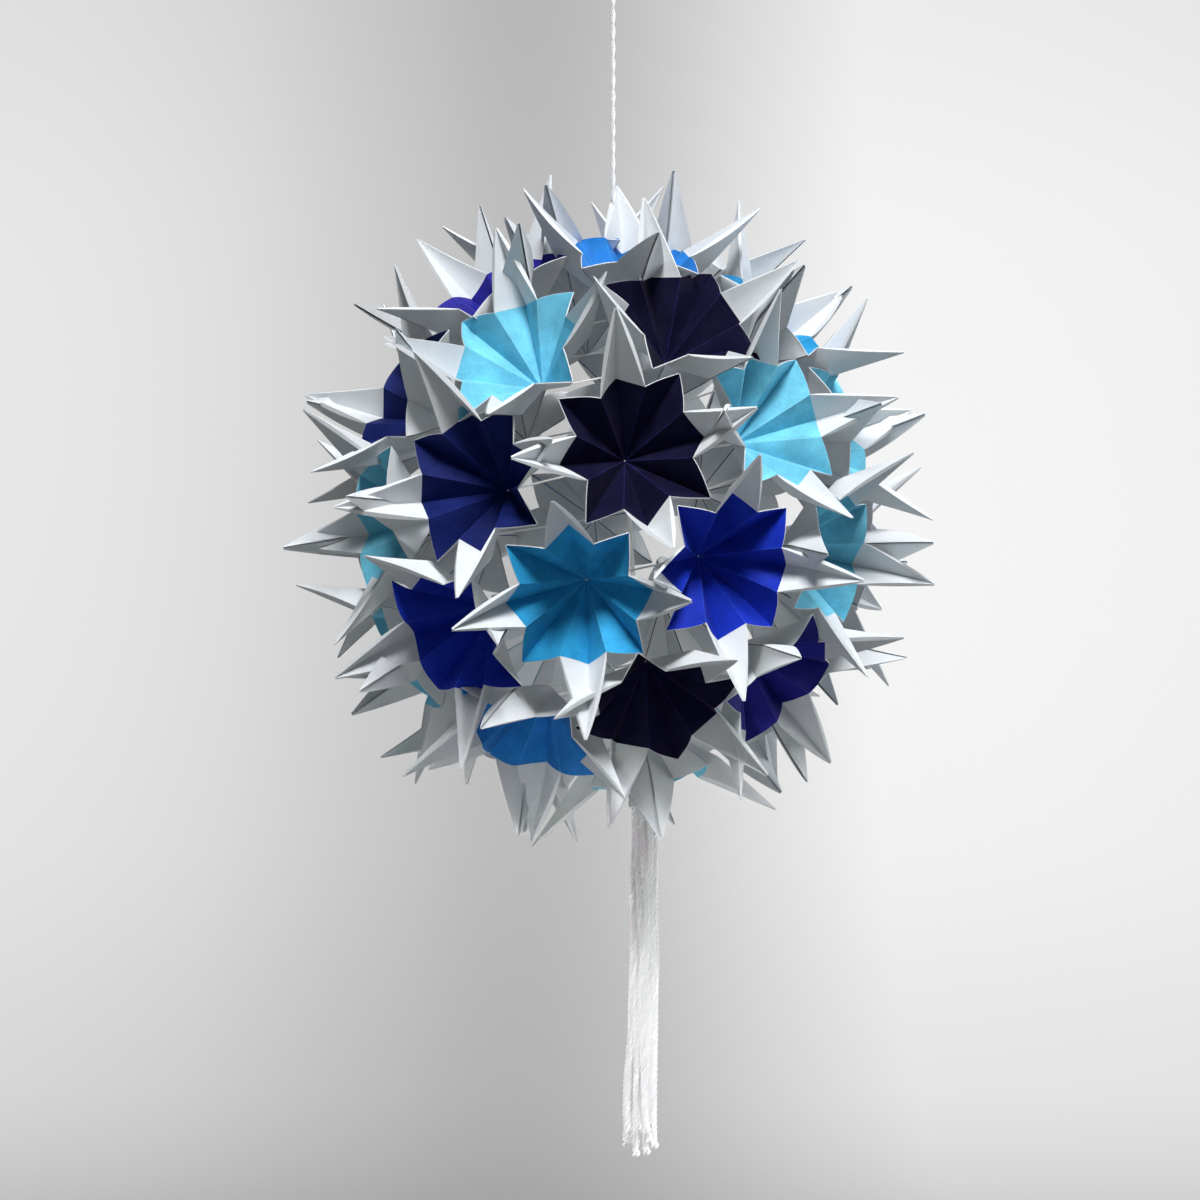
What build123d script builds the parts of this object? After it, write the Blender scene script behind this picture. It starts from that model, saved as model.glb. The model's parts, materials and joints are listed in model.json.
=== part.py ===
"""Hanging kusudama: a ball of folded paper stars on a thread, with a yarn tassel.

Every star is one square of two-sided paper, pleated into a cup with eight petals: four short ones, and four
that run on as long spikes to the corners of the square. The stars stand in rows around a tilted axis, with
their pleat points on an egg-round shell, and lean on each other with their petals.

Frame: millimetres, +Z up, front of the ball towards -Y. The origin is where the hanging loop bears on its hook.
"""

import os
from math import acos, atan2, cos, degrees, hypot, radians, sin, tan

from build123d import *

os.makedirs("parts", exist_ok=True)

# ---- driving dimensions -----------------------------------------------------------------------------------
paper = 75.0  # side of the square sheet of each star
card = 0.45  # thickness of the folded paper, two layers, measured along the star's axis
needle_hole = 0.9  # radius of the hole pierced at each star's pleat point
cord_hole = 2.2  # the same in the bottom star, which the inner cord goes through

spike_reach = 0.7071 * paper  # pleat point to the corner of the sheet
petal_reach = 0.410 * paper  # pleat point to the tip of a short petal
notch_reach = 0.340 * paper  # pleat point to a notch, the top of a ridge crease
collar_reach = 0.335 * paper  # pleat point to the edge of the blue along a spike's furrow
furrow_angle = 53.0  # furrow creases, measured from the star's axis
spike_angle = 38.0  # spike tips, measured from the star's axis

shell_radius = 60.0  # ball centre to the pleat points, in the level plane
shell_stretch = 1.10  # the ball is this much taller than it is wide
axis_tilt = 11.3  # rows rise to the right by this angle
axis_nod = -5.3  # top of the row axis leans back by this angle

# name, latitude, number of stars, azimuth of the first star, roll of the spikes
rows = [
    ("a", 90.0, 1, 0.0, -2.0),
    ("b", 61.5, 5, 32.0, 63.0),
    ("c", 33.6, 8, -18.0, 0.0),
    ("d", 6.9, 10, 4.5, 2.0),
    ("e", -21.5, 10, -13.3, -8.0),
    ("f", -50.3, 7, 1.0, 54.0),
    ("g", -87.0, 1, -90.0, 0.0),
]

ball_drop = 188.0  # hook to ball centre
thread_size = 1.4  # hanging thread, two plies together
sewing_size = 0.6  # thread that strings a row of stars
loop_width = 9.0  # hanging loop, between the middles of its sides
loop_drop = 16.0  # hook to the top of the loop's knot
knot_width = 3.4
knot_height = 3.6
swing_gap = 0.45  # room above and below the loop's knot, so that it and the thread can swing
thread_knot_lift = 91.0  # ball centre to the knot above the ball

yarn_size = 1.5  # one length of tassel yarn
yarn_rings = [("core", 1, 0.15), ("inner", 6, 1.85), ("outer", 10, 3.5)]  # name, yarns, radius of the ring
yarn_twist = 75.0  # turn of the whole skein from the tie to the ends
yarn_runs = 4
skein_opening = 0.35  # how much wider the skein is at its cut ends
end_scatter = 9.0  # difference between the longest and the shortest yarn
stop_knot_drop = 6.0  # bottom pleat point to the middle of the stop knot
stop_knot_width = 4.0
stop_knot_height = 4.4
knot_gap = 0.2  # room for the tassel to swing at the stop knot
tassel_cord_drop = 12.0  # bottom of the stop knot to the head of the tassel
tie_drop = 3.0  # head of the tassel to the top of its tie
tie_height = 5.0
tie_wall = 0.7
tassel_end = 203.0  # ball centre to the cut ends

centre = Vector(0, 0, -ball_drop)


# ---- where the stars stand --------------------------------------------------------------------------------
def tilted(x, y, z):
    """Turn a direction from the row axis's frame into the ball's frame."""
    direction = Vector(x, y, z).rotate(Axis.Y, -axis_tilt)
    return direction.rotate(Axis.X, axis_nod)


def star_plane(latitude, azimuth):
    """The plane of a star: origin at its pleat point, +Z outward, +X along its row, +Y up the rows."""
    lat = radians(latitude)
    turn = radians(azimuth)
    outward = tilted(cos(lat) * sin(turn), -cos(lat) * cos(turn), sin(lat))
    along_row = tilted(cos(turn), sin(turn), 0)
    reach = outward * shell_radius
    origin = centre + Vector(reach.X, reach.Y, reach.Z * shell_stretch)
    return Plane(origin=origin, x_dir=along_row, z_dir=outward)


def ridge_from_furrow(furrow):
    """Angle of the ridge creases from the axis, when 16 sectors of 22.5 degrees close the pleated cup."""
    sector = cos(radians(22.5))
    along = cos(radians(furrow))
    across = sin(radians(furrow)) * sector
    return degrees(atan2(across, along) - acos(sector / hypot(along, across)))


ridge_angle = ridge_from_furrow(furrow_angle)


# ---- folded paper star ------------------------------------------------------------------------------------
def star_facets(plane, roll):
    """The flat facets between the creases, each as three corners."""

    def corner(reach, angle, bearing):
        side = reach * sin(radians(angle))
        turn = radians(bearing + roll)
        return plane.from_local_coords(Vector(side * cos(turn), side * sin(turn), reach * cos(radians(angle))))

    point = plane.origin
    facets = []
    for petal in range(8):
        bearing = 45.0 * petal
        for side in (-22.5, 22.5):
            notch = corner(notch_reach, ridge_angle, bearing + side)
            if petal % 2:
                facets.append((point, notch, corner(petal_reach, furrow_angle, bearing)))
            else:
                collar = corner(collar_reach, furrow_angle, bearing)
                facets.append((point, notch, collar))
                facets.append((notch, collar, corner(spike_reach, spike_angle, bearing)))
    return facets


def make_star(name, plane, roll, hole):
    """One sheet of paper: every facet is thickened along the star's axis, so neighbours share their creases."""
    with BuildPart() as star:
        for first, second, third in star_facets(plane, roll):
            facet_plane = Plane(origin=first, x_dir=second - first, z_dir=(second - first).cross(third - first))
            outline = [facet_plane.to_local_coords(corner) for corner in (first, second, third)]
            with BuildSketch(facet_plane):
                with BuildLine():
                    Polyline(*[(corner.X, corner.Y) for corner in outline], close=True)
                make_face()
            extrude(amount=card, dir=plane.z_dir)
        with Locations(plane.origin):
            Sphere(hole, mode=Mode.SUBTRACT)
    star.part.label = name
    export_step(star.part, f"parts/{name}.step")
    return star.part


# ---- thread, knots and yarn -------------------------------------------------------------------------------
def bend_radii(points):
    """The largest arc that the two runs at each corner allow."""
    radii = []
    for before, corner, after in zip(points, points[1:], points[2:]):
        run = min((corner - before).length, (after - corner).length)
        turn = (corner - before).get_angle(after - corner)
        radii.append(0.45 * run / tan(radians(turn / 2)))
    return radii


def make_cords(name, routes, size):
    """Round tubes, one along each route: a straight run, or runs joined by tangent arcs."""
    with BuildPart() as cords:
        for points in routes:
            with BuildLine() as path:
                if len(points) > 2:
                    FilletPolyline(*points, radius=bend_radii(points))
                else:
                    Line(*points)
            with BuildSketch(Plane(origin=points[0], z_dir=points[1] - points[0])):
                Circle(size / 2)
            sweep(path=path.line)
    cords.part.label = name
    export_step(cords.part, f"parts/{name}.step")
    radii = [radius for points in routes for radius in bend_radii(points)]
    if radii:
        print(name, len(cords.part.solids()), "solids, arc radii", round(min(radii)), "to", round(max(radii)))


def make_knot(name, middle, direction, width=knot_width, height=knot_height):
    """The outer shape of an overhand knot: a short barrel with round shoulders."""
    with BuildPart() as knot:
        with BuildSketch(Plane(origin=middle, z_dir=direction)):
            Circle(width / 2)
        extrude(amount=height / 2, both=True)
        fillet(knot.edges().filter_by(GeomType.CIRCLE), radius=min(0.4 * width, 0.45 * height))
    knot.part.label = name
    export_step(knot.part, f"parts/{name}.step")


def make_row_thread(name, points):
    """A sewing thread that runs from pleat point to pleat point, all round one row."""
    with BuildPart() as sewing:
        for start, end in zip(points, points[1:] + points[:1]):
            with BuildSketch(Plane(origin=start, z_dir=end - start)):
                Circle(sewing_size / 2)
            extrude(amount=(end - start).length)
            with Locations(start):
                Sphere(sewing_size / 2)
    sewing.part.label = name
    export_step(sewing.part, f"parts/{name}.step")


# ---- the stars and the threads that string their rows -----------------------------------------------------
for row_name, latitude, count, first_azimuth, roll in rows:
    planes = [star_plane(latitude, first_azimuth + 360.0 * index / count) for index in range(count)]
    hole = cord_hole if row_name == rows[-1][0] else needle_hole
    for index, plane in enumerate(planes):
        paper_star = make_star(f"star_{row_name}{index + 1}", plane, roll, hole)
    if count > 1:
        make_row_thread(f"row_thread_{row_name}", [plane.origin for plane in planes])
    bottom_plane = planes[-1]
print("last star", len(paper_star.solids()), "solid", round(paper_star.volume, 1), "mm3")

# ---- hanging loop, thread and knots -----------------------------------------------------------------------
down = Vector(0, 0, -1)
loop_top = thread_size / 2  # the loop's middle line stands this far above its bearing point
with BuildPart() as hang_loop:
    with BuildSketch(Plane.XZ):
        with Locations((0, loop_top - (loop_drop + loop_top) / 2)):
            SlotOverall(loop_drop + loop_top + thread_size, loop_width + thread_size, rotation=90)
            SlotOverall(loop_drop + loop_top - thread_size, loop_width - thread_size, rotation=90, mode=Mode.SUBTRACT)
    extrude(amount=thread_size / 2, both=True)
    fillet(hang_loop.edges(), radius=0.42 * thread_size)
hang_loop.part.label = "hang_loop"
export_step(hang_loop.part, "parts/hang_loop.step")

loop_knot_middle = down * (loop_drop + thread_size / 2 + knot_height / 2)
thread_start = loop_knot_middle + down * (knot_height / 2)
thread_knot_middle = centre - down * thread_knot_lift
thread_end = thread_knot_middle - down * (knot_height / 2)
make_knot("loop_knot", loop_knot_middle, down, height=knot_height - 2 * swing_gap)
make_cords("hanging_thread", [[thread_start, thread_end]], thread_size)
make_knot("thread_knot", thread_knot_middle, down)

stop_knot_middle = bottom_plane.origin + bottom_plane.z_dir * stop_knot_drop
cord_start = thread_knot_middle + down * (knot_height / 2)
cord_end = stop_knot_middle - bottom_plane.z_dir * stop_knot_height / 2
make_cords("inner_cord", [[cord_start, cord_end]], thread_size)
make_knot("stop_knot", stop_knot_middle, bottom_plane.z_dir, stop_knot_width, stop_knot_height)

print("thread", round((thread_end - thread_start).length, 1), "from", thread_start, "to", thread_end)
print("bottom pleat point", bottom_plane.origin, "stop knot", stop_knot_middle)

# ---- tassel -----------------------------------------------------------------------------------------------
cord_top = stop_knot_middle + bottom_plane.z_dir * stop_knot_height / 2 + down * knot_gap
tassel_head = cord_top + down * tassel_cord_drop
tassel_length = tassel_head.Z - (centre.Z - tassel_end)
make_cords("tassel_cord", [[cord_top, tassel_head]], thread_size)


def yarn_route(yarn, yarns, radius, reach):
    """A yarn's points from the tassel's head to its cut end: the skein turns and opens a little on its way."""
    points = []
    for step in range(yarn_runs + 1):
        part_way = step / yarn_runs
        bearing = radians(360.0 * yarn / yarns + yarn_twist * part_way)
        opened = radius * (1 + skein_opening * part_way * part_way)
        side = Vector(opened * cos(bearing), opened * sin(bearing), 0)
        points.append(tassel_head + side + down * reach * part_way)
    return points


for ring_name, yarns, radius in yarn_rings:
    routes = []
    for yarn in range(yarns):
        reach = tassel_length - end_scatter * (0.5 + 0.5 * cos(2.4 * yarn + yarns))
        routes.append(yarn_route(yarn, yarns, radius, reach))
    make_cords(f"tassel_yarns_{ring_name}", routes, yarn_size)

tie_inner = yarn_rings[-1][2] + yarn_size / 2 + 0.1
with BuildPart() as tassel_tie:
    with BuildSketch(Plane(origin=tassel_head + down * tie_drop, z_dir=down)):
        Circle(tie_inner + tie_wall)
        Circle(tie_inner, mode=Mode.SUBTRACT)
    extrude(amount=tie_height)
    fillet(tassel_tie.edges().filter_by(GeomType.CIRCLE).group_by(SortBy.RADIUS)[-1], radius=0.3 * tie_wall)
tassel_tie.part.label = "tassel_tie"
export_step(tassel_tie.part, "parts/tassel_tie.step")
print("tassel head", tassel_head, "length", round(tassel_length, 1))
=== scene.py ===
"""Looks of the hanging kusudama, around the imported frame: paper stars, twisted thread, a yarn tassel."""

import json
import random
from math import acos, atan2, cos, hypot, pi, radians, sin

import bpy
import numpy as np
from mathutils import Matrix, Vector


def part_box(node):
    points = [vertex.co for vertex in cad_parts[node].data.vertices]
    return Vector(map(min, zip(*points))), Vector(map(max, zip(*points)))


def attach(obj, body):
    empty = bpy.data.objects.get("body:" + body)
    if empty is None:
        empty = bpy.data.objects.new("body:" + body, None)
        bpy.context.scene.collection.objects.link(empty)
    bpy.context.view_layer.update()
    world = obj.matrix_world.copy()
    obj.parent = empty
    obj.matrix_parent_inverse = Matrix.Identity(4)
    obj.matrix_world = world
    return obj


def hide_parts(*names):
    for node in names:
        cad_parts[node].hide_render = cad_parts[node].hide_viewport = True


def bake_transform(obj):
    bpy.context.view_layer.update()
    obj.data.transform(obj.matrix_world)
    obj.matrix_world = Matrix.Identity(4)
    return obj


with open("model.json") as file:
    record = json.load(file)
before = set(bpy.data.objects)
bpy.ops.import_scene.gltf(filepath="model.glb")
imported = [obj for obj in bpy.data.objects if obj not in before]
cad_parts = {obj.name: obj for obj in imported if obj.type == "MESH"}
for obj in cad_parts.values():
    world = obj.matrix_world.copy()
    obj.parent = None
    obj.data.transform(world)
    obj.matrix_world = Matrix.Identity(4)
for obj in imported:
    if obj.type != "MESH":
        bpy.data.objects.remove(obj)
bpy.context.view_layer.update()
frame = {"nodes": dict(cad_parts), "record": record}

# ---- driving dimensions, in metres ------------------------------------------------------------------------
# The paper and the ball are the CAD model's. The cups open a little wider, and the spikes lean out further.
PAPER = 0.075  # side of the square sheet of each star
SPIKE_REACH = 0.7 * PAPER  # the sheet's corner, drawn in a little by the curve of the fold
PETAL_REACH = 0.425 * PAPER
NOTCH_REACH = 0.365 * PAPER
COLLAR_REACH = 0.360 * PAPER
FURROW_ANGLE = radians(56.0)
SPIKE_ANGLE = radians(44.5)
PETALS = 8  # the even ones are spikes, the odd ones short petals
PETAL_TURN = 360.0 / PETALS
SECTOR = PETAL_TURN / 2  # from a furrow crease to the next ridge crease

SHELL_RADIUS = 0.060
SHELL_STRETCH = 1.10
AXIS_TILT = radians(11.3)
AXIS_NOD = radians(-5.3)

# name, latitude, number of stars, azimuth of the first star, roll of the spikes
ROWS = [
    ("a", 90.0, 1, 0.0, -2.0),
    ("b", 61.5, 5, 32.0, 63.0),
    ("c", 33.6, 8, -18.0, 0.0),
    ("d", 6.9, 10, 4.5, 2.0),
    ("e", -21.5, 10, -13.3, -8.0),
    ("f", -50.3, 7, 1.0, 54.0),
    ("g", -87.0, 1, -90.0, 0.0),
]

# stars that were glued in at a slant: degrees that they tip along their row and up the rows
TIPPED = {
    "star_d1": (3.5, -5.0),
    "star_c1": (-3.0, 1.0),
    "star_e2": (2.0, 0.0),
    "star_f1": (0.0, -2.0),
}

SHEET = 0.00022  # one layer of paper
SPIKE_LAYERS = 2.2  # how many layers thick a spike and a petal's rim look
PETAL_LAYERS = 1.3
BALL_DROP = 0.188
CENTRE = Vector((0, 0, -BALL_DROP))
THREAD = 0.0014  # over its two plies
THREAD_PLIES = 2
THREAD_PLY_RADIUS = 0.00037
THREAD_PLY_ORBIT = 0.00034
THREAD_PITCH = 0.0105

scene = bpy.context.scene


# ---- small helpers ----------------------------------------------------------------------------------------
def new_mesh_object(name, points, faces, slots=(), face_slots=None, smooth_angle=None):
    mesh = bpy.data.meshes.new(name)
    mesh.from_pydata([tuple(point) for point in points], [], faces)
    for material in slots:
        mesh.materials.append(material)
    if face_slots is not None:
        mesh.polygons.foreach_set("material_index", face_slots)
    mesh.polygons.foreach_set("use_smooth", [True] * len(mesh.polygons))
    if smooth_angle is not None:
        mesh.set_sharp_from_angle(angle=smooth_angle)
    mesh.update()
    piece = bpy.data.objects.new(name, mesh)
    scene.collection.objects.link(piece)
    return piece


def lerp(start, end, part):
    return start + (end - start) * part


# ---- camera -----------------------------------------------------------------------------------------------
VIEW_DISTANCE = 0.96
VIEW_WIDTH = 0.384  # what the frame spans at the ball's centre
VIEW_SIDE = -0.0042  # where the frame's middle is, from the thread and from the ball's centre
VIEW_BELOW = 0.027
camera_data = bpy.data.cameras.new("camera")
camera_data.sensor_fit = "HORIZONTAL"
camera_data.angle = 2 * atan2(VIEW_WIDTH / 2, VIEW_DISTANCE)
camera = bpy.data.objects.new("camera", camera_data)
camera.location = (VIEW_SIDE, -VIEW_DISTANCE, -BALL_DROP - VIEW_BELOW)
camera.rotation_euler = (pi / 2, 0, 0)
scene.collection.objects.link(camera)
scene.camera = camera


# ---- materials --------------------------------------------------------------------------------------------
class Nodes:
    """Short words for building a node tree."""

    def __init__(self, name):
        self.material = bpy.data.materials.new(name)
        self.material.use_nodes = True
        self.tree = self.material.node_tree
        self.tree.nodes.clear()
        self.output = self.add("ShaderNodeOutputMaterial")
        self.shader = self.add("ShaderNodeBsdfPrincipled")
        self.link(self.shader, "BSDF", self.output, "Surface")

    def add(self, kind, **values):
        node = self.tree.nodes.new(kind)
        for key, value in values.items():
            setattr(node, key, value)
        return node

    def link(self, source, output, target, socket):
        self.tree.links.new(source.outputs[output], target.inputs[socket])

    def noise(self, scale, detail=3.0, roughness=0.6, stretch=None):
        place = self.add("ShaderNodeTexCoord")
        noise = self.add("ShaderNodeTexNoise")
        noise.inputs["Scale"].default_value = scale
        noise.inputs["Detail"].default_value = detail
        noise.inputs["Roughness"].default_value = roughness
        if stretch:
            mapping = self.add("ShaderNodeMapping")
            mapping.inputs["Scale"].default_value = stretch
            self.link(place, "Object", mapping, "Vector")
            self.link(mapping, "Vector", noise, "Vector")
        else:
            self.link(place, "Object", noise, "Vector")
        return noise

    def ramp(self, source, output, stops):
        """Colour ramp: stops are (position, grey or colour)."""
        ramp = self.add("ShaderNodeValToRGB")
        elements = ramp.color_ramp.elements
        while len(elements) < len(stops):
            elements.new(0.5)
        for element, (position, colour) in zip(elements, stops):
            element.position = position
            element.color = (*colour, 1.0) if isinstance(colour, tuple) else (colour, colour, colour, 1.0)
        self.link(source, output, ramp, "Fac")
        return ramp

    def mix(self, blend, factor, first, second):
        """Mix two colours. factor, first and second are numbers, colours or (node, output)."""
        mix = self.add("ShaderNodeMix", data_type="RGBA", blend_type=blend)
        for socket, value in ((0, factor), (6, first), (7, second)):
            if isinstance(value, tuple) and isinstance(value[0], bpy.types.Node):
                self.tree.links.new(value[0].outputs[value[1]], mix.inputs[socket])
            elif isinstance(value, tuple):
                mix.inputs[socket].default_value = (*value, 1.0)
            else:
                mix.inputs[socket].default_value = value
        return mix

    def bump(self, source, output, strength, distance, under=None):
        bump = self.add("ShaderNodeBump")
        bump.inputs["Strength"].default_value = strength
        bump.inputs["Distance"].default_value = distance
        self.link(source, output, bump, "Height")
        if under is not None:
            self.link(under, "Normal", bump, "Normal")
        self.link(bump, "Normal", self.shader, "Normal")
        return bump


def attribute_mask(nodes, name, near, far):
    """1 where the attribute, a distance in metres, is under near, falling to 0 at far."""
    attribute = nodes.add("ShaderNodeAttribute", attribute_name=name)
    mask = nodes.add("ShaderNodeMapRange", clamp=True)
    mask.inputs["From Min"].default_value = far
    mask.inputs["From Max"].default_value = near
    nodes.link(attribute, "Fac", mask, "Value")
    return mask


def paper_grain(nodes, strength):
    """Fine fibres and a slight cockle, as bump."""
    fibres = nodes.noise(2600.0, 4.0, 0.7)
    first = nodes.bump(fibres, "Fac", strength, 0.00008)
    cockle = nodes.noise(140.0, 2.0, 0.5)
    nodes.bump(cockle, "Fac", 0.25, 0.0006, under=first)


def blue_paper(name, colour, worn_and_lit_colour, glow):
    """The coloured face: mottled dye, ridge creases painted lighter (partly rubbed dye, partly painted
    highlight), a fine matte grain.
    """
    nodes = Nodes(name)
    cloud = nodes.noise(95.0, 4.0, 0.6)
    dark = tuple(0.72 * value for value in colour)
    light = tuple(min(1.0, 1.18 * value + 0.004) for value in colour)
    dye = nodes.ramp(cloud, "Fac", [(0.3, dark), (0.7, light)])
    speckle = nodes.noise(1500.0, 3.0, 0.7)
    speckle_ramp = nodes.ramp(speckle, "Fac", [(0.35, 0.9), (0.7, 1.06)])
    dyed = nodes.mix("MULTIPLY", 1.0, (dye, "Color"), (speckle_ramp, "Color"))
    # ridge creases painted lighter: partly worn dye, partly a painted highlight along the ridges
    ridge = attribute_mask(nodes, "ridge_gap", 0.00004, 0.00030)
    chips = nodes.noise(700.0, 3.0, 0.7)
    chip_ramp = nodes.ramp(chips, "Fac", [(0.40, 0.08), (0.66, 0.50)])
    wear_and_highlight = nodes.add("ShaderNodeMath", operation="MULTIPLY")
    nodes.link(ridge, "Result", wear_and_highlight, 0)
    nodes.link(chip_ramp, "Color", wear_and_highlight, 1)
    rubbed_and_lit = nodes.mix("MIX", 0.5, (dyed, 2), worn_and_lit_colour)
    nodes.link(wear_and_highlight, "Value", rubbed_and_lit, 0)
    nodes.link(rubbed_and_lit, 2, nodes.shader, "Base Color")
    nodes.shader.inputs["Roughness"].default_value = 0.55
    nodes.shader.inputs["Specular IOR Level"].default_value = 0.08
    nodes.shader.inputs["Sheen Weight"].default_value = 0.01
    nodes.shader.inputs["Sheen Roughness"].default_value = 0.5
    nodes.shader.inputs["Subsurface Weight"].default_value = glow
    nodes.shader.inputs["Subsurface Radius"].default_value = (0.3, 0.6, 1.0)
    nodes.shader.inputs["Subsurface Scale"].default_value = 0.0015
    paper_grain(nodes, 0.35)
    return nodes.material


def white_paper(name, colour, glow):
    """The plain reverse of the sheet: off-white, slightly cloudy, with faint fibres."""
    nodes = Nodes(name)
    cloud = nodes.noise(60.0, 4.0, 0.6)
    tone = nodes.ramp(
        cloud, "Fac", [(0.3, tuple(0.93 * value for value in colour)), (0.7, colour)]
    )
    fibres = nodes.noise(900.0, 4.0, 0.75)
    fibre_ramp = nodes.ramp(fibres, "Fac", [(0.35, 0.95), (0.65, 1.0)])
    base = nodes.mix("MULTIPLY", 1.0, (tone, "Color"), (fibre_ramp, "Color"))
    nodes.link(base, 2, nodes.shader, "Base Color")
    nodes.shader.inputs["Roughness"].default_value = 0.7
    nodes.shader.inputs["Specular IOR Level"].default_value = 0.3
    nodes.shader.inputs["Sheen Weight"].default_value = 0.1
    nodes.shader.inputs["Subsurface Weight"].default_value = glow
    nodes.shader.inputs["Subsurface Radius"].default_value = (0.9, 1.0, 1.0)
    nodes.shader.inputs["Subsurface Scale"].default_value = 0.0015
    paper_grain(nodes, 0.3)
    return nodes.material


# shade of the dye, and the lighter colour painted along the ridge creases: partly rubbed dye, partly painted
# highlight
SHADES = {
    "paper_indigo": ((0.004, 0.003, 0.022), (0.05, 0.04, 0.24)),
    "paper_navy": ((0.005, 0.012, 0.100), (0.04, 0.06, 0.36)),
    "paper_royal": ((0.006, 0.026, 0.400), (0.05, 0.15, 0.75)),
    "paper_violet": ((0.016, 0.014, 0.230), (0.09, 0.09, 0.50)),
    "paper_azure": ((0.018, 0.190, 0.560), (0.12, 0.42, 0.80)),
    "paper_cerulean": ((0.026, 0.330, 0.640), (0.12, 0.50, 0.78)),
    "paper_sky": ((0.165, 0.530, 0.700), (0.45, 0.78, 0.88)),
}
blue = {name: blue_paper(name, dye, rubbed_and_lit, 0.12) for name, (dye, rubbed_and_lit) in SHADES.items()}
white = white_paper("paper_reverse", (0.645, 0.675, 0.695), 0.15)


def yarn_material(name, colour, sheen):
    nodes = Nodes(name)
    fibres = nodes.noise(2200.0, 4.0, 0.7, stretch=(1, 1, 0.25))
    tone = nodes.ramp(fibres, "Fac", [(0.3, tuple(0.92 * value for value in colour)), (0.65, colour)])
    nodes.link(tone, "Color", nodes.shader, "Base Color")
    nodes.shader.inputs["Roughness"].default_value = 0.6
    nodes.shader.inputs["Sheen Weight"].default_value = sheen
    nodes.shader.inputs["Sheen Roughness"].default_value = 0.4
    nodes.shader.inputs["Subsurface Weight"].default_value = 0.9
    nodes.shader.inputs["Subsurface Radius"].default_value = (1.0, 1.0, 0.97)
    nodes.shader.inputs["Subsurface Scale"].default_value = 0.004
    nodes.bump(fibres, "Fac", 0.5, 0.00008)
    return nodes.material


thread_white = yarn_material("thread_white", (0.90, 0.90, 0.87), 0.2)
yarn_white = yarn_material("yarn_white", (0.97, 0.975, 0.96), 0.25)


# ---- where the stars stand --------------------------------------------------------------------------------
def tilted(x, y, z):
    """Turn a direction from the row axis's frame into the ball's frame."""
    across = cos(AXIS_TILT) * x - sin(AXIS_TILT) * z
    up = sin(AXIS_TILT) * x + cos(AXIS_TILT) * z
    return Vector((across, cos(AXIS_NOD) * y - sin(AXIS_NOD) * up, sin(AXIS_NOD) * y + cos(AXIS_NOD) * up))


class Place:
    """A star's own axes: origin at its pleat point, out away from the ball, along its row and up the rows."""

    def __init__(self, latitude, azimuth, tip=(0.0, 0.0)):
        lat = radians(latitude)
        turn = radians(azimuth)
        self.out = tilted(cos(lat) * sin(turn), -cos(lat) * cos(turn), sin(lat))
        self.along = tilted(cos(turn), sin(turn), 0)
        self.up = self.out.cross(self.along)
        reach = self.out * SHELL_RADIUS
        self.point = CENTRE + Vector((reach.x, reach.y, reach.z * SHELL_STRETCH))
        across, upward = tip
        tipped = self.out + self.along * sin(radians(across)) + self.up * sin(radians(upward))
        self.out = tipped.normalized()
        self.along = self.up.cross(self.out).normalized()
        self.up = self.out.cross(self.along)

    def corner(self, reach, angle, bearing):
        """The place at this reach from the pleat point, angle from the axis and bearing about it."""
        side = reach * sin(angle)
        flat = self.along * cos(bearing) + self.up * sin(bearing)
        return self.point + flat * side + self.out * (reach * cos(angle))


def ridge_from_furrow(furrow):
    """Angle of the ridge creases from the axis, when two sectors a petal close the pleated cup."""
    sector = cos(radians(SECTOR))
    along = cos(furrow)
    across = sin(furrow) * sector
    return atan2(across, along) - acos(sector / hypot(along, across))


RIDGE_ANGLE = ridge_from_furrow(FURROW_ANGLE)

# ---- folded paper star ------------------------------------------------------------------------------------
CUP_ROWS = 7
PETAL_ROWS = 6
SPIKE_ROWS = 12
COLUMNS = 5
TIP_BLUNT = 0.985  # how far along the rim lines the blunt tip is cut


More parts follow.
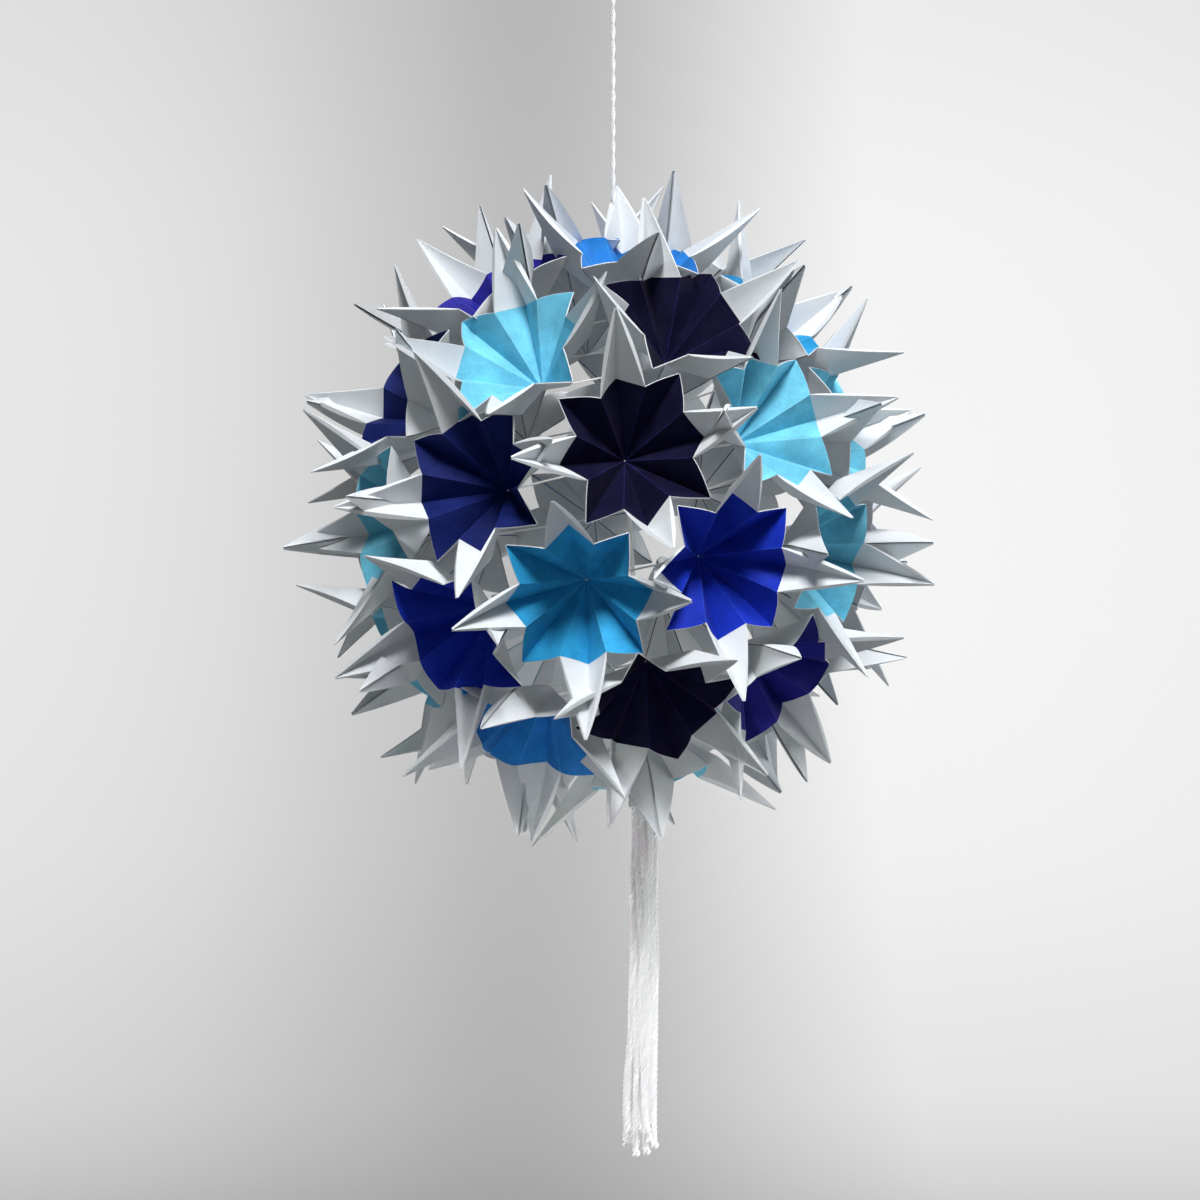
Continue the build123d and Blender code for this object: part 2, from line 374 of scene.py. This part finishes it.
def paper_star(name, place, roll, shade):
    """One folded sheet. Each petal is two walls between a ridge and its furrow, with a real thickness."""
    chance = random.Random(name)

    def vary(amount):
        return chance.uniform(-amount, amount)

    bearings = [radians(PETAL_TURN * petal + roll) for petal in range(PETALS)]
    notches = []
    for petal in range(PETALS):
        bearing = bearings[petal] + radians(SECTOR + vary(1.2))
        reach = NOTCH_REACH * (1 + vary(0.02))
        notches.append(place.corner(reach, RIDGE_ANGLE + radians(vary(1.5)), bearing))

    points = []
    faces = []
    face_slots = []
    ridge_gaps = []

    def wall(petal, side, furrow_base, tip, swing, bend):
        """One wall of a petal. side is -1 or 1: the notch before or after the petal's furrow."""
        is_spike = petal % 2 == 0
        notch = notches[petal if side > 0 else petal - 1]
        rim_rows = SPIKE_ROWS if is_spike else PETAL_ROWS
        rim_bulge = chance.uniform(-0.0003, 0.0002) if is_spike else chance.uniform(0.0010, 0.0019)
        bow = vary(0.0005) if is_spike else vary(0.0004)
        puff = chance.uniform(0.0005, 0.0011) if is_spike else 0.0
        normal = (notch - place.point).cross(furrow_base - place.point) * -side
        normal.normalize()
        spike_normal = (tip - notch).cross(furrow_base - notch) * -side
        spike_normal.normalize()
        outward_edge = (notch - furrow_base).normalized()
        rows_total = CUP_ROWS + rim_rows
        inner = []
        outer = []
        for row in range(rows_total + 1):
            if row <= CUP_ROWS:
                part = row / CUP_ROWS
                ridge_point = lerp(place.point, notch, part)
                furrow_point = lerp(place.point, furrow_base, part)
                face_normal = normal
                thickness = SHEET
                along = part
                beyond = 0.0
            else:
                beyond = (row - CUP_ROWS) / rim_rows * TIP_BLUNT
                ridge_point = lerp(notch, tip, beyond) + outward_edge * (rim_bulge * sin(pi * beyond))
                furrow_point = lerp(furrow_base, tip, beyond)
                face_normal = spike_normal
                thickness = SHEET * (SPIKE_LAYERS if is_spike else PETAL_LAYERS)
                along = 1.0
            curl = swing * beyond**2 + bend * beyond**2
            row_inner = []
            row_outer = []
            for column in range(COLUMNS + 1):
                across = column / COLUMNS
                spot = lerp(ridge_point, furrow_point, across) + curl
                belly = sin(pi * across) * sin(pi * min(1.0, 0.5 * along + 0.5 * beyond))
                spot = spot + face_normal * (bow * belly)
                loft = thickness + puff * sin(pi * beyond) * (1 - across) ** 2
                row_inner.append(spot)
                row_outer.append(spot - face_normal * loft)
            inner.append((row_inner, (ridge_point - furrow_point).length))
            outer.append(row_outer)
        return inner, outer

    def add_wall(side, inner, outer, is_spike):
        base = len(points)
        width = COLUMNS + 1
        rows_total = len(inner)
        for row_inner, span in inner:
            for column, spot in enumerate(row_inner):
                points.append(spot)
                ridge_gaps.append(span * column / COLUMNS)
        for row_outer in outer:
            for spot in row_outer:
                points.append(spot)
                ridge_gaps.append(1.0)
        lift = rows_total * width

        def quad(a, b, c, d, slot):
            faces.append((a, b, c, d) if side > 0 else (d, c, b, a))
            face_slots.append(slot)

        for row in range(rows_total - 1):
            inner_slot = 1 if (is_spike and row >= CUP_ROWS) else 0
            for column in range(COLUMNS):
                corner = base + row * width + column
                quad(corner, corner + 1, corner + 1 + width, corner + width, inner_slot)
                below = corner + lift
                quad(below + width, below + width + 1, below + 1, below, 1)
            if row >= CUP_ROWS:
                rim = base + row * width
                quad(rim + width, rim + width + lift, rim + lift, rim, 1)
        last = base + (rows_total - 1) * width
        for column in range(COLUMNS):
            corner = last + column
            quad(corner, corner + 1, corner + 1 + lift, corner + lift, 1)

    for petal in range(PETALS):
        is_spike = petal % 2 == 0
        bearing = bearings[petal] + radians(vary(1.5))
        furrow = FURROW_ANGLE + radians(vary(1.5))
        furrow_base = place.corner(COLLAR_REACH * (1 + vary(0.02)), furrow, bearing)
        if is_spike:
            reach = SPIKE_REACH * (1 + vary(0.02))
            lean = SPIKE_ANGLE + radians(vary(4.0))
            tip = place.corner(reach, lean, bearing + radians(vary(4.0)))
        else:
            tip = place.corner(PETAL_REACH * (1 + vary(0.03)), furrow - radians(vary(2.0)), bearing)
        sideways = place.out.cross(tip - place.point).normalized()
        swing = sideways * vary(0.0012 if is_spike else 0.0004)
        bend = place.out * vary(0.0014 if is_spike else 0.0006)
        for side in (-1, 1):
            inner, outer = wall(petal, side, furrow_base, tip, swing, bend)
            add_wall(side, inner, outer, is_spike)

    star = new_mesh_object(name, points, faces, [blue[shade], white], face_slots)
    mesh = star.data
    gap = mesh.attributes.new("ridge_gap", "FLOAT", "POINT")
    gap.data.foreach_set("value", ridge_gaps)
    mesh.set_sharp_from_angle(angle=radians(25))
    return star


slot_of = {entry["node"]: entry["material_slot"] for entry in frame["record"]["subparts"]}
for row_name, latitude, count, first_azimuth, roll in ROWS:
    for index in range(count):
        node = f"star_{row_name}{index + 1}"
        place = Place(latitude, first_azimuth + 360.0 * index / count, TIPPED.get(node, (0.0, 0.0)))
        star = paper_star(f"folded_{node}", place, roll, slot_of[node])
        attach(star, "ball")
        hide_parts(node)


# ---- thread and yarn --------------------------------------------------------------------------------------
def smooth_line(points, steps=14):
    """Points along the NURBS spline whose control points these are."""
    curve = bpy.data.curves.new("route", "CURVE")
    curve.dimensions = "3D"
    curve.resolution_u = steps
    spline = curve.splines.new("NURBS")
    spline.points.add(len(points) - 1)
    for control, point in zip(spline.points, points):
        control.co = (*point, 1.0)
    spline.order_u = 3
    spline.use_endpoint_u = True
    holder = bpy.data.objects.new("route", curve)
    scene.collection.objects.link(holder)
    mesh = bpy.data.meshes.new_from_object(holder)
    line = [vertex.co.copy() for vertex in mesh.vertices]
    bpy.data.objects.remove(holder)
    bpy.data.meshes.remove(mesh)
    bpy.data.curves.remove(curve)
    return line


def resample(line, step):
    """The same line with evenly spaced points."""
    line = np.array([tuple(point) for point in line])
    lengths = np.concatenate([[0.0], np.cumsum(np.linalg.norm(np.diff(line, axis=0), axis=1))])
    count = max(2, int(lengths[-1] / step) + 1)
    stations = np.linspace(0.0, lengths[-1], count)
    return np.column_stack([np.interp(stations, lengths, line[:, axis]) for axis in range(3)]), lengths[-1]


END_TAPER = 0.6  # a ply's cut end, against its full radius


def plied(
    name, line, plies, ply_radius, orbit, pitch, material,
    sides=8, phase=0.0, step=0.0004, fray=None, wander=None, across=(0, 1, 0)
):
    """Plies twisted around a line: one closed tube each, in one mesh. across is never along the line."""
    stations, length = resample(line, step)
    if wander is not None:
        stations, length = resample(stations + wander(np.linspace(0.0, 1.0, len(stations))), step)
    tangents = np.gradient(stations, axis=0)
    tangents /= np.linalg.norm(tangents, axis=1)[:, None]
    side = np.cross(tangents, np.array(across, float))
    side /= np.linalg.norm(side, axis=1)[:, None]
    other = np.cross(tangents, side)
    walked = np.linspace(0.0, length, len(stations))
    points = []
    faces = []
    for ply in range(plies):
        turn = 2 * pi * (walked / pitch + ply / plies) + phase
        spread = orbit * (np.ones_like(walked) if fray is None else fray(walked / length, ply))
        middle = stations + side * (spread * np.cos(turn))[:, None] + other * (spread * np.sin(turn))[:, None]
        base = len(points)
        for index in range(len(middle)):
            end_gap = min(index, len(middle) - 1 - index)
            radius = ply_radius * (END_TAPER if end_gap == 0 else 1.0)
            for corner in range(sides):
                angle = 2 * pi * corner / sides
                points.append(middle[index] + radius * (cos(angle) * side[index] + sin(angle) * other[index]))
        for index in range(len(middle) - 1):
            for corner in range(sides):
                following = (corner + 1) % sides
                start = base + index * sides
                faces.append((
                    start + corner,
                    start + following,
                    start + sides + following,
                    start + sides + corner,
                ))
        faces.append(tuple(base + corner for corner in reversed(range(sides))))
        top = base + (len(middle) - 1) * sides
        faces.append(tuple(top + corner for corner in range(sides)))
    piece = new_mesh_object(name, points, faces, [material], None, radians(60))
    return piece, [tuple(point) for point in stations], length


TREFOIL_SPAN = 6.5  # width of the trefoil curve below, before it is scaled


def overhand_knot(name, middle, size, thickness, material, direction=Vector((0, 0, -1))):
    """A small tight knot: a closed trefoil of the thread's own thickness."""
    turns = 96
    sides = 10
    line = []
    for index in range(turns):
        angle = 2 * pi * index / turns
        line.append(Vector((
            sin(angle) + 2 * sin(2 * angle),
            cos(angle) - 2 * cos(2 * angle),
            -1.4 * sin(3 * angle),
        )) * (size / TREFOIL_SPAN))
    turned = Vector((0, 0, 1)).rotation_difference(direction)
    points = []
    faces = []
    for index in range(turns):
        here = line[index]
        tangent = (line[(index + 1) % turns] - line[index - 1]).normalized()
        side = tangent.cross(Vector((0.3, 0.5, 0.81))).normalized()
        other = tangent.cross(side)
        for corner in range(sides):
            angle = 2 * pi * corner / sides
            spot = here + (side * cos(angle) + other * sin(angle)) * (thickness / 2)
            points.append(middle + turned @ spot)
        ahead = (index + 1) % turns
        for corner in range(sides):
            following = (corner + 1) % sides
            faces.append((
                index * sides + corner,
                index * sides + following,
                ahead * sides + following,
                ahead * sides + corner,
            ))
    return new_mesh_object(name, points, faces, [material], None, radians(70))


def thread_piece(name, line, phase=0.0):
    """A length of the hanging thread."""
    return plied(
        name, line, THREAD_PLIES, THREAD_PLY_RADIUS, THREAD_PLY_ORBIT, THREAD_PITCH, thread_white, phase=phase
    )


def node_middle(node):
    low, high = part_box(node)
    return Vector([(a + b) / 2 for a, b in zip(low, high)])


# The hanging loop and its knot, just outside the view.
low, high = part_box("hang_loop")
loop_side = (high[0] - low[0] - THREAD) / 2
loop_top = high[2] - THREAD / 2
loop_bottom = low[2] - THREAD / 2
loop_height = loop_top - loop_bottom
loop_turns = [
    (0.15, 0.0), (0.6, 0.12), (1.0, 0.32), (1.06, 0.6), (1.0, 0.86), (0.45, 1.02),
    (-0.45, 1.02), (-1.0, 0.86), (-1.06, 0.6), (-1.0, 0.32), (-0.6, 0.12), (-0.15, 0.0),
]  # side, in half widths, and height, in heights of the loop
loop_line = smooth_line([Vector((loop_side * x, 0, loop_bottom + loop_height * z)) for x, z in loop_turns])
loop, _, _ = thread_piece("twisted_hang_loop", loop_line)
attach(loop, "hanger")
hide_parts("hang_loop")

loop_knot = overhand_knot("loop_overhand_knot", node_middle("loop_knot"), 0.0036, 0.0012, thread_white)
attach(loop_knot, "knot")
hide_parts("loop_knot")

# The hanging thread: two plies, pulled straight by the ball.
low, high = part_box("hanging_thread")
thread_bottom = Vector((0, 0, low[2]))
thread_top = Vector((0, 0, high[2]))
thread_line = [thread_bottom, lerp(thread_bottom, thread_top, 0.5), thread_top]
thread, thread_path, thread_length = thread_piece("twisted_thread", thread_line, phase=0.6)
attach(thread, "thread")
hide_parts("hanging_thread")

thread_knot = overhand_knot("thread_overhand_knot", node_middle("thread_knot"), 0.0034, 0.0010, thread_white)
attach(thread_knot, "ball")
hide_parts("thread_knot")

# ---- tassel -----------------------------------------------------------------------------------------------
stop_knot = overhand_knot("stop_overhand_knot", node_middle("stop_knot"), 0.0040, 0.0013, thread_white)
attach(stop_knot, "ball")
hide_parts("stop_knot")

low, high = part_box("tassel_cord")
cord_middle = node_middle("tassel_cord")
tassel_head = Vector((cord_middle.x, cord_middle.y, low[2]))
INTO_HEAD = 0.001  # how far the tassel's cord runs on into the skein
cord_top = Vector((cord_middle.x, cord_middle.y, high[2]))
cord_line = [cord_top, cord_middle, tassel_head - Vector((0, 0, INTO_HEAD))]
tassel_cord, _, _ = thread_piece("twisted_tassel_cord", cord_line)
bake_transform(tassel_cord)
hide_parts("tassel_cord")

# name, number of yarns, radius of the ring
YARN_RINGS = [("core", 1, 0.00015), ("inner", 6, 0.00185), ("outer", 10, 0.0035)]
YARN_TWIST = radians(75.0)  # turn of the whole skein from the tie to the ends
YARN_RUNS = 4
SKEIN_OPENING = 0.35  # how much wider the skein is at its cut ends
END_SCATTER = 0.009  # difference between the longest and the shortest yarn
TASSEL_DROP = 0.203  # from the ball's centre to the longest yarn's end
TASSEL_LENGTH = tassel_head.z - (CENTRE.z - TASSEL_DROP)
PLIES = 3
PLY_RADIUS = 0.00050
PLY_ORBIT = 0.00046
PLY_PITCH = 0.0052
FRAY_START = 0.965  # part of the yarn's length after which its plies part
BOW = 0.0016  # how far every fifth yarn bows to the side, where, and over how much of its length
BOW_PLACE = 0.86
BOW_SPAN = 0.16
SKEIN_LEAN = 0.0012  # how far all the ends lean to the side, and from where
LEAN_START = 0.45


def yarn_route(yarn, yarns, radius):
    """A yarn's control points, the same as those of its CAD tube."""
    reach = TASSEL_LENGTH - END_SCATTER * (0.5 + 0.5 * cos(2.4 * yarn + yarns))
    route = []
    for step in range(YARN_RUNS + 1):
        part_way = step / YARN_RUNS
        bearing = 2 * pi * yarn / yarns + YARN_TWIST * part_way
        opened = radius * (1 + SKEIN_OPENING * part_way**2)
        route.append(tassel_head + Vector((opened * cos(bearing), opened * sin(bearing), -reach * part_way)))
    return route


def frayed(part_way, ply):
    """The plies part a little over the last few millimetres, each its own way."""
    near_end = np.clip((part_way - FRAY_START) / (1 - FRAY_START), 0.0, 1.0)
    return 1.0 + near_end**2 * (0.9 + 0.5 * ply)


def wandering(chance, bow):
    """A yarn's small waves about its route, and its bow to one side near the cut end."""
    waves = []
    for _ in range(3):
        reach = chance.uniform(0.00015, 0.0004)
        count = chance.uniform(1.0, 3.2)
        phase = chance.uniform(0, 2 * pi)
        waves.append((reach, count, phase, chance.uniform(0, 2 * pi)))

    def offset(part_way):
        across = np.zeros((len(part_way), 3))
        held = np.clip(part_way / 0.15, 0.0, 1.0)
        for reach, count, phase, bearing in waves:
            swing = held * reach * (0.7 + part_way) * np.sin(2 * pi * count * part_way + phase)
            across[:, 0] += swing * cos(bearing)
            across[:, 1] += swing * sin(bearing)
        across[:, 0] -= bow * np.exp(-((part_way - BOW_PLACE) / BOW_SPAN) ** 2)
        across[:, 0] -= SKEIN_LEAN * np.clip((part_way - LEAN_START) / (1 - LEAN_START), 0.0, 1.0)
        return across

    return offset


for ring_name, yarns, radius in YARN_RINGS:
    node = f"tassel_yarns_{ring_name}"
    for yarn in range(yarns):
        chance = random.Random(f"{ring_name}{yarn}")
        line = smooth_line(yarn_route(yarn, yarns, radius))
        pitch = PLY_PITCH * chance.uniform(0.9, 1.12)
        phase = chance.uniform(0, 2 * pi)
        bow = BOW if yarn % 5 == 2 else 0.0
        yarn_piece, yarn_path, yarn_length = plied(
            f"yarn_{ring_name}_{yarn + 1}", line, PLIES, PLY_RADIUS, PLY_ORBIT, pitch, yarn_white,
            sides=7, phase=phase, fray=frayed, wander=wandering(chance, bow)
        )
        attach(yarn_piece, "tassel")
        if yarn == 0:
            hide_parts(node)

# The tie: turns of thread wound around the head of the skein.
low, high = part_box("tassel_tie")
TIE_INSET = 0.0005  # from the CAD band's outside to the middle of the thread
TIE_MARGIN = 0.0006  # and from its top and bottom
TIE_TURNS = 5
TIE_PLY_RADIUS = 0.00028
TIE_PLY_ORBIT = 0.00025
TIE_PITCH = 0.004
TURN_STEPS = 24
tie_radius = (high[0] - low[0]) / 2 - TIE_INSET
tie_line = []
for step in range(TIE_TURNS * TURN_STEPS + 1):
    angle = 2 * pi * step / TURN_STEPS
    height = lerp(high[2] - TIE_MARGIN, low[2] + TIE_MARGIN, step / (TIE_TURNS * TURN_STEPS))
    tie_line.append(Vector((
        tassel_head.x + tie_radius * cos(angle),
        tassel_head.y + tie_radius * sin(angle),
        height,
    )))
tie, _, _ = plied(
    "tassel_tie_turns", tie_line, THREAD_PLIES, TIE_PLY_RADIUS, TIE_PLY_ORBIT, TIE_PITCH, thread_white,
    across=(0, 0, 1)
)
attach(tie, "tassel")
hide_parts("tassel_tie")

# The threads that stay hidden inside the ball keep their CAD shape.
for node in ["inner_cord"] + [f"row_thread_{row}" for row in "bcdef"]:
    inner = frame["nodes"][node]
    inner.data.materials.clear()
    inner.data.materials.append(thread_white)


# ---- stage, light and view --------------------------------------------------------------------------------
WALL_BACK = 1.8  # behind the camera of a view from the back
TONED_AT = 1.1  # where the wall stood when its tones were set
SPREAD = (WALL_BACK + VIEW_DISTANCE) / (TONED_AT + VIEW_DISTANCE)  # keeps the tones in place in view

# painted light: these tones grade the backdrop's own glow into a window wash, brighter at the right and
# towards the wall, darker left of the middle, lower down and at the sides; its glow also lights the ball
BAND_TONES = [(0.0, 0.96), (0.2, 0.82), (0.36, 0.58), (0.47, 0.48), (0.6, 0.80), (0.74, 1.06), (1.0, 1.3)]
HEIGHT_TONES = [(0.0, 0.66), (0.12, 0.80), (0.30, 0.98), (0.6, 1.0), (0.82, 1.0), (1.0, 0.90)]
SIDE_TONES = [(0.0, 0.12), (0.32, 1.0), (0.70, 1.0), (1.0, 0.2)]
FLOOR_TONES = [(0.0, 0.30), (1.0, 1.0)]
# the axis, where the camera is on it, where the tones start and end with the wall at TONED_AT, and the tones
WALL_TONES = [
    ("X", camera.location.x, -0.42, 0.42, BAND_TONES),
    ("Z", camera.location.z, -0.62, 0.20, HEIGHT_TONES),
    ("X", camera.location.x, -1.6, 1.6, SIDE_TONES),
    ("Y", camera.location.y, 0.2, 0.75, FLOOR_TONES),
]


def glowing_wall(name):
    """A pale wall that glows by itself with painted light: bright at the right, with a painted darker band
    left of the middle.
    """
    nodes = Nodes(name)
    place = nodes.add("ShaderNodeTexCoord")
    split = nodes.add("ShaderNodeSeparateXYZ")
    nodes.link(place, "Object", split, "Vector")
    tones = []
    for axis, eye, start, end, stops in WALL_TONES:
        reach = nodes.add("ShaderNodeMapRange", clamp=True)
        reach.inputs["From Min"].default_value = lerp(eye, start, SPREAD)
        reach.inputs["From Max"].default_value = lerp(eye, end, SPREAD)
        nodes.link(split, axis, reach, "Value")
        tones.append(nodes.ramp(reach, "Result", stops))
        tones[-1].color_ramp.interpolation = "B_SPLINE"
    glow, output = tones[0], "Color"
    for tone in tones[1:]:
        glow, output = nodes.mix("MULTIPLY", 1.0, (glow, output), (tone, "Color")), 2
    nodes.link(glow, output, nodes.shader, "Emission Color")
    nodes.shader.inputs["Emission Strength"].default_value = 1.0
    nodes.shader.inputs["Base Color"].default_value = (0.10, 0.10, 0.10, 1.0)
    nodes.shader.inputs["Roughness"].default_value = 1.0
    nodes.shader.inputs["Specular IOR Level"].default_value = 0.0
    return nodes.material


FLOOR_LEVEL = -0.62
STAGE_HALF = 3.0
CORNER_RADIUS = 0.67
CORNER_STEPS = 12
STAGE_TOP = 2.6
profile = [(-STAGE_HALF, FLOOR_LEVEL)]
for step in range(CORNER_STEPS + 1):
    angle = pi / 2 * step / CORNER_STEPS
    profile.append((
        WALL_BACK - CORNER_RADIUS + CORNER_RADIUS * sin(angle),
        FLOOR_LEVEL + CORNER_RADIUS - CORNER_RADIUS * cos(angle),
    ))
profile.append((WALL_BACK, STAGE_TOP))
stage_points = [(x, y, z) for x in (-STAGE_HALF, STAGE_HALF) for y, z in profile]
side = len(profile)
stage_faces = [(index, index + side, index + 1 + side, index + 1) for index in range(side - 1)]
backdrop = new_mesh_object("backdrop", stage_points, stage_faces, [glowing_wall("backdrop_glow")])


def area_light(name, place, aim, width, height, power, colour=(1, 1, 1)):
    data = bpy.data.lights.new(name, "AREA")
    data.shape = "RECTANGLE"
    data.size = width
    data.size_y = height
    data.energy = power
    data.color = colour
    lamp = bpy.data.objects.new(name, data)
    lamp.location = place
    lamp.rotation_euler = (Vector(aim) - Vector(place)).to_track_quat("-Z", "Y").to_euler()
    scene.collection.objects.link(lamp)
    return lamp


area_light("key", (0.1, -0.85, 0.85), CENTRE, 0.40, 0.40, power=27.0, colour=(0.99, 0.99, 1.0))
area_light("window", (1.15, 0.35, 0.15), CENTRE, 0.9, 1.1, power=12.0, colour=(0.95, 0.98, 1.0))
tassel_middle = CENTRE + Vector((0, 0, -0.165))
tassel_fill = area_light("tassel_fill", (-0.15, -1.0, -0.42), tassel_middle, 0.15, 0.08, power=0.08)
tassel_fill.data.spread = radians(13)

world = bpy.data.worlds.new("studio")
world.use_nodes = True
background = world.node_tree.nodes["Background"]
background.inputs["Color"].default_value = (0.9, 0.93, 0.95, 1.0)
background.inputs["Strength"].default_value = 0.12
scene.world = world
scene.view_settings.view_transform = "Standard"
scene.view_settings.look = "None"
